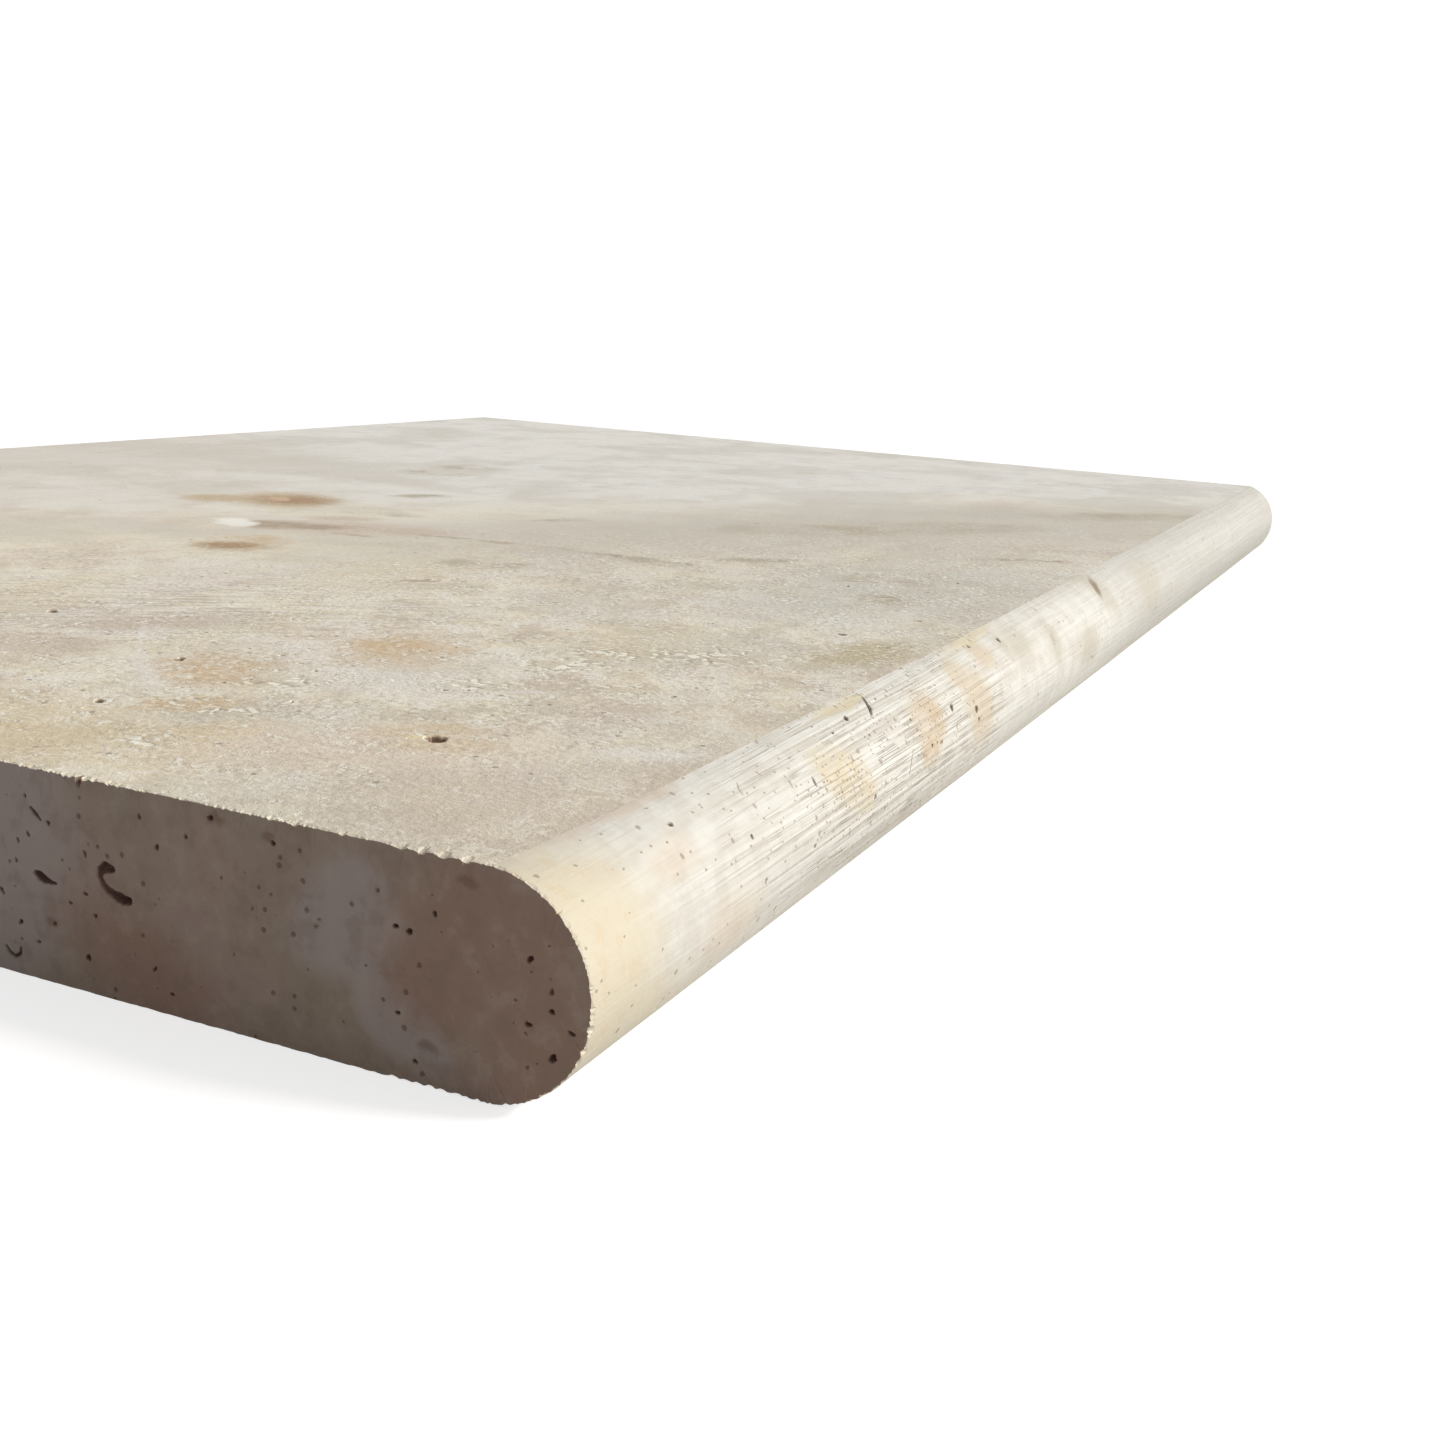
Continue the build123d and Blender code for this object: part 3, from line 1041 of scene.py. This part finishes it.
def paint_top(g, place):
    """The honed top: soft cream and pink-grey clouds, bright grains with painted highlights and shadows,
    tan patches, and painted sheen far off.
    """
    flat_place = g.vector("MULTIPLY", place, (1, 1, 0))
    bent = g.warp(g.warp(flat_place, 14, 6), 2.5, 1.8)
    curled = g.warp(flat_place, 4, 5)
    shaken = g.warp(flat_place, 1.6, 1.2)
    across = g.node("Mapping", {"Vector": flat_place, "Rotation": (0, 0, math.radians(52))})
    clouds = g.noise(flat_place, 48, 3, 0.5)
    mottle = g.noise(curled, 8, 4, 0.7)
    grain = g.noise(flat_place, 1.5, 3, 0.7)
    veil = g.noise(g.stretched(curled, 24, 18, 1), 1, 4, 0.64)
    lace = g.noise(curled, 6, 3, 0.6)
    g.colour = g.mix(g.step(clouds, 0.40, 0.60), linear(228, 213, 190), linear(238, 228, 199))
    x, y = (g.node("SeparateXYZ", {0: flat_place}, i) for i in range(2))
    waved = g.spread(g.noise(flat_place, 90, 2, 0.5), -45, 45)
    away = g.add(g.times(x, 0.64), g.times(y, 0.77), waved)
    aside = g.add(g.times(x, 0.77), g.times(y, -0.64))
    # Whiter and cooler towards the far edge: painted sheen of the white surroundings mirrored at a grazing
    # view.
    far_colour_and_sheen = g.mix(g.step(aside, -110, 30), linear(223, 218, 209), linear(228, 228, 226))
    g.colour = g.mix(g.times(g.step(away, -80, 25), 0.9), g.colour, far_colour_and_sheen)
    crisp = g.spread(g.step(away, -50, -160), 0.2, 1.0)
    curdled = g.add(g.times(crisp, 0.85), 0.15)
    crisp = g.times(crisp, g.spread(g.step(away, -325, -270), 0.35, 1.0))
    g.coat((196, 183, 162), g.step(veil, 0.50, 0.38), g.add(g.times(curdled, 0.6), 0.12))
    g.coat((236, 231, 219), g.step(veil, 0.50, 0.61), g.add(g.times(curdled, 0.6), 0.12))
    g.coat((199, 185, 164), g.step(mottle, 0.52, 0.36), curdled, 0.55)
    g.coat((241, 236, 222), g.step(mottle, 0.50, 0.66), curdled, 0.75)
    drifts = g.noise(flat_place, 62, 2, 0.5)
    g.coat((202, 195, 182), g.step(drifts, 0.50, 0.36), 0.5)
    g.coat((236, 232, 224), g.step(drifts, 0.50, 0.64), 0.4)
    combed = g.noise(g.stretched(across, 16, 1.7, 1), 1, 3, 0.6)
    comb = g.spot(flat_place, -208, -48, 62, 34, -52, 0.5)
    comb = g.add(g.times(comb, 0.5), g.times(curdled, 0.1))
    g.coat((188, 173, 159), g.step(combed, 0.50, 0.38), comb)
    g.coat((238, 232, 224), g.step(combed, 0.51, 0.62), comb)
    grey_green = g.spots(bent, [(48, -124, 165, 42, -34), (-80, -160, 62, 30, -15)])
    g.coat((193, 191, 180), grey_green, 0.62)
    middle = g.times(g.step(away, -30, -62), g.step(away, -165, -120), g.step(aside, -130, -60))
    g.coat((190, 180, 165), middle, 0.4)
    far_shade = g.spot(bent, -10, 190, 95, 60, -40, 0.6)
    g.coat((206, 199, 187), far_shade, 0.5)

    paint_patches(g, flat_place, bent, curled, shaken, mottle, veil)
    g.coat((240, 230, 212), g.step(away, -262, -300), 0.16)
    grained = g.times(g.spread(g.step(g.noise(flat_place, 14, 2, 0.5), 0.40, 0.60), 0.3, 1.0), crisp)
    g.coat((168, 152, 132), g.step(grain, 0.48, 0.36), grained, 0.45)
    g.coat((248, 243, 229), g.step(grain, 0.53, 0.66), grained, 0.6)
    laced = g.step(g.math("ABSOLUTE", g.math("SUBTRACT", lace, 0.5)), 0.04, 0.0)
    laced = g.times(laced, g.step(g.noise(flat_place, 18, 2, 0.5), 0.45, 0.62))
    g.coat((246, 241, 228), laced, curdled, 0.6)
    pale = g.streaks(shaken, pale_veins)
    g.coat((242, 238, 233), pale, 0.4)

    flakes = paint_crumbs(g, flat_place, curled, shaken, crisp)
    return g.add(g.times(grain, curdled, 0.24), g.times(flakes, 0.12))


def paint_nose(g, place):
    """The ground nose: pale, with fine lines along it, many pores, and cream and tan patches."""
    x, y, z = (g.node("SeparateXYZ", {0: place}, i) for i in range(3))
    radius = float(nose_arc(near + 60)[0])
    up = g.math("SUBTRACT", z, half)
    inward = g.math("SUBTRACT", tip + radius, y)
    swing = g.times(g.math("ARCTAN2", up, inward), radius)
    around = g.node("CombineXYZ", {0: x, 1: swing, 2: 0.0})
    bent = g.warp(g.warp(around, 7, 3), 1.2, 1.2)
    shaken = g.warp(around, 1.0, 0.5)
    middle = g.spot(around, -190, 2, 62, 26, 0, 0.5)
    worked = g.most([g.spread(middle, 0.15, 1.0), g.times(g.step(x, -150, -90), 0.32)])
    fine_lines = g.noise(g.stretched(around, 45, 0.42, 1), 1, 2, 0.6)
    lines = g.noise(g.stretched(around, 80, 0.72, 1), 1, 2, 0.5)
    broad_lines = g.noise(g.stretched(around, 90, 2.6, 1), 1, 3, 0.6)
    mottle = g.noise(around, 6, 4, 0.65)
    g.colour = g.mix(g.step(mottle, 0.38, 0.62), linear(210, 206, 197), linear(219, 217, 209))
    g.coat((224, 222, 215), g.step(broad_lines, 0.50, 0.64), 0.3)
    g.coat((200, 195, 182), g.step(broad_lines, 0.50, 0.36), 0.2)
    g.coat((190, 187, 180), g.step(x, -70, 60), 0.8)
    g.coat((186, 179, 166), g.step(fine_lines, 0.48, 0.36), worked, 0.4)
    g.coat((176, 166, 150), g.step(lines, 0.45, 0.36), worked, 0.35)
    g.coat((236, 234, 228), g.step(lines, 0.50, 0.58), worked, 0.45)
    engraved = g.noise(g.stretched(around, 95, 1.0, 1), 1, 1, 0.5)
    engraved = g.step(g.math("ABSOLUTE", g.math("SUBTRACT", engraved, 0.5)), 0.04, 0.015)
    gaps = g.spread(g.step(g.noise(around, 11, 2, 0.5), 0.40, 0.58), 0.3, 1.0)
    engraved = g.times(engraved, worked, gaps)
    g.coat((148, 136, 118), engraved, 0.6)

    cream = g.spots(bent, [(-304, 5, 16.5, 19), (-298, -8, 18, 8), (-288, -15, 20, 9)], 0.45)
    g.coat((214, 203, 178), cream, 0.85)
    golden = g.times(cream, g.step(g.noise(around, 3.4, 3, 0.6), 0.54, 0.66))
    g.coat((212, 188, 146), golden, 0.25)
    faint = g.spots(bent, [(-277.5, 11, 6, 3), (-266, -3, 9, 5)])
    g.coat((214, 190, 162), faint, 0.35)
    porous = g.spots(bent, [(-218.5, 7.6, 11, 5.4, -28)], 0.3)
    g.coat((210, 197, 168), porous, g.spread(g.step(mottle, 0.40, 0.58), 0.35, 0.85))
    tan = g.spots(bent, [(-176, 7.8, 8, 6, 10), (-179, 3.4, 5.5, 3, 0)], 0.4)
    g.coat((200, 181, 153), tan, g.spread(g.step(mottle, 0.40, 0.58), 0.5, 0.9))
    pale_tan = g.spots(bent, [(-146, 5, 8, 8, 8), (-131, 14, 6, 3.6), (-150, 13, 5, 3.5)], 0.45)
    g.coat((202, 184, 157), pale_tan, 0.65)
    crease = g.spots(bent, [(-128, 18.6, 16, 1.6), (-202, 18.8, 11, 1.3)], 0.5)
    g.coat((210, 193, 148), crease, 0.5)
    pink = g.spot(bent, -276, 22, 18, 2.4, 0, 0.5)
    g.coat((196, 179, 162), pink, 0.7)
    # Darker spots at the nose's dents: partly smudges in the stone, partly painted shade of the dents.
    dent_smudges_and_shade = g.spots(bent, [
        (-22.5, 14, 10, 6, -45), (-82, 8.5, 4.5, 5), (-115.9, 14, 3, 3), (-108, 12, 8, 4),
        (30, 8, 14, 7), (-52, 2, 10, 5),
    ])
    g.coat((184, 177, 158), dent_smudges_and_shade, 0.55)
    # Painted light: the nose's lower half is painted paler, against the shade that falls there.
    g.coat((234, 228, 213), g.step(swing, -3, -14), 0.6)

    plenty = g.times(middle, g.step(g.noise(around, 9, 2, 0.5), 0.36, 0.58))
    long_place = g.stretched(shaken, 1.4, 1, 1)
    share = g.add(g.times(plenty, 0.26), g.times(porous, 0.25), g.times(tan, 0.1), 0.02)
    fine = g.pores(long_place, 1.0, 0.27, share)
    wide = g.pores(shaken, 3.4, 0.55, g.add(g.times(plenty, 0.2), 0.035))
    pores = g.most([fine, wide])
    g.coat((138, 116, 96), pores, 0.62)
    return g.add(
        g.times(fine_lines, worked, 0.09), g.times(lines, worked, 0.16), g.times(engraved, -0.08),
        g.times(mottle, 0.12),
    )


def paint_end(g, place):
    """The sawn faces: duller and browner, partly painted shade, with purple-grey and reddish zones."""
    sawn_place = g.vector("ADD", place, (40, 0, 0))
    x, y, z = (g.node("SeparateXYZ", {0: place}, i) for i in range(3))
    on_end = g.step(x, near + 6, near + 3)
    side = g.node("CombineXYZ", {0: y, 1: z, 2: 0.0})
    bent = g.warp(g.warp(side, 9, 5), 1.6, 1.3)
    clouds = g.noise(sawn_place, 22, 4, 0.55)
    mottle = g.noise(sawn_place, 3.6, 4, 0.6)
    # Base colour darker than the top's: partly the sawn finish, partly painted shade.
    g.colour = g.mix(g.step(clouds, 0.40, 0.60), linear(172, 154, 138), linear(179, 157, 144))
    grey = g.spots(bent, [(-103, 18, 21, 26, 12), (-169, 19, 8, 9, 40), (-176, 8, 9, 4, 30)], 0.25)
    g.coat((186, 172, 167), grey, on_end, 0.85)
    red = g.spots(bent, [
        (-136, 6, 12, 6, 20), (-190, 22, 13, 9), (-196, 8, 9, 12), (-182, 14, 8, 7),
    ])
    g.coat((170, 138, 122), red, on_end, 0.85)
    g.coat((152, 131, 116), g.step(mottle, 0.50, 0.34), 0.35)
    g.coat((196, 180, 165), g.step(mottle, 0.52, 0.68), 0.28)
    stains = g.spots(bent, [
        (-147.9, 28.4, 1.3, 0.6), (-157.7, 27, 1.0, 0.7), (-185.6, 27, 1.6, 0.8),
        (-180.6, 4.7, 1.2, 0.8), (-120.9, 8.6, 1.2, 0.8),
    ])
    g.coat((124, 88, 72), stains, on_end, 0.5)
    pores = g.pores(place, 2.2, 0.45, g.times(g.step(g.noise(place, 12, 2, 0.5), 0.40, 0.62), 0.45))
    g.coat((96, 72, 60), pores, 0.6)
    return g.add(
        g.times(g.noise(place, 1.2, 4, 0.6), 0.12), g.times(g.noise(place, 4.5, 2, 0.5), 0.25),
        g.times(pores, -0.15),
    )


def travertine(name, paint, lining, roughness):
    """One of the stone's finishes: its paint, the look inside its hollows, and its gloss."""
    material = bpy.data.materials.new("travertine_" + name)
    g = Graph(material, dimensions="3D" if name == "sawn" else "2D")
    place = g.vector("MULTIPLY", g.node("TexCoord", output=3), (1000, 1000, 1000))
    height = paint(g, place)
    if name != "sawn":
        broken = g.step(g.attribute("chip"), 0.02, 0.12)
        g.coat((226, 218, 198), broken, 0.6)
    deep = g.step(g.attribute("sunk"), 0.06, 0.5)
    g.coat(lining, deep, 0.92)
    bump = g.node("Bump", {"Height": height, "Strength": 1.0, "Distance": 0.001})
    g.shade({
        "Base Color": g.colour, "Normal": bump, "Roughness": roughness, "Specular IOR Level": 0.35,
    })
    return material


for finish in (
    ("honed", paint_top, (138, 110, 88), 0.5),
    ("ground", paint_nose, (142, 116, 96), 0.6),
    ("sawn", paint_end, (120, 90, 79), 0.85),
):
    stone.data.materials.append(travertine(*finish))


# Floor, light and camera

def add_floor():
    """A pale floor that looks white where the stone's shadow doesn't fall."""
    reach = 6.0
    grey = 0.5
    glow_strength = 0.7
    corners = [(-reach, -reach, 0), (reach, -reach, 0), (reach, reach, 0), (-reach, reach, 0)]
    mesh = bpy.data.meshes.new("floor")
    mesh.from_pydata(corners, [], [(0, 1, 2, 3)])
    floor = bpy.data.objects.new("floor", mesh)
    bpy.context.scene.collection.objects.link(floor)
    material = bpy.data.materials.new("floor")
    g = Graph(material, dimensions="3D")
    seen = g.node("LightPath", output="Is Camera Ray")
    g.shade({
        "Base Color": (grey, grey, grey, 1), "Roughness": 0.9, "Specular IOR Level": 0.0,
        "Emission Color": (1, 1, 1, 1), "Emission Strength": g.times(seen, glow_strength),
    })
    mesh.materials.append(material)


def add_world():
    """Soft light from all round, and a white background where it is seen or mirrored."""
    ambient = 0.27
    world = bpy.data.worlds.new("studio")
    world.use_nodes = True
    tree = world.node_tree
    background = tree.nodes["Background"]
    background.inputs["Color"].default_value = (1, 1, 1, 1)
    path = tree.nodes.new("ShaderNodeLightPath")
    seen = tree.nodes.new("ShaderNodeMath")
    seen.operation = "MAXIMUM"
    strength = tree.nodes.new("ShaderNodeMapRange")
    strength.inputs["To Min"].default_value = ambient
    strength.inputs["To Max"].default_value = 1.0
    tree.links.new(path.outputs["Is Camera Ray"], seen.inputs[0])
    tree.links.new(path.outputs["Is Glossy Ray"], seen.inputs[1])
    tree.links.new(seen.outputs[0], strength.inputs["Value"])
    tree.links.new(strength.outputs["Result"], background.inputs["Strength"])
    bpy.context.scene.world = world


def add_sun(name, towards_light, strength, softness, colour):
    data = bpy.data.lights.new(name, "SUN")
    data.energy = strength
    data.angle = math.radians(softness)
    data.color = colour
    lamp = bpy.data.objects.new(name, data)
    lamp.rotation_euler = Vector(towards_light).to_track_quat("Z", "Y").to_euler()
    bpy.context.scene.collection.objects.link(lamp)


def add_camera():
    """A camera where the photograph was taken from, in metres and degrees."""
    place = (-0.4611, -0.2867, 0.0937)
    turn, tilt, roll = -66.0, 76.05, 3.18
    data = bpy.data.cameras.new("camera")
    data.sensor_width = 36.0
    data.lens = 41.66
    data.clip_start = 0.01
    camera = bpy.data.objects.new("camera", data)
    aim = (
        Matrix.Rotation(math.radians(turn), 4, "Z")
        @ Matrix.Rotation(math.radians(tilt), 4, "X")
        @ Matrix.Rotation(math.radians(roll), 4, "Z")
    )
    camera.matrix_world = Matrix.Translation(place) @ aim
    bpy.context.scene.collection.objects.link(camera)
    bpy.context.scene.camera = camera


add_floor()
add_world()
add_sun("key", (0.28, -0.77, 0.56), strength=2.0, softness=8, colour=(1.0, 0.965, 0.91))
add_sun("fill", (0.45, -0.88, 0.10), strength=2.4, softness=80, colour=(1.0, 0.98, 0.95))
add_camera()
bpy.context.scene.view_settings.view_transform = "Standard"
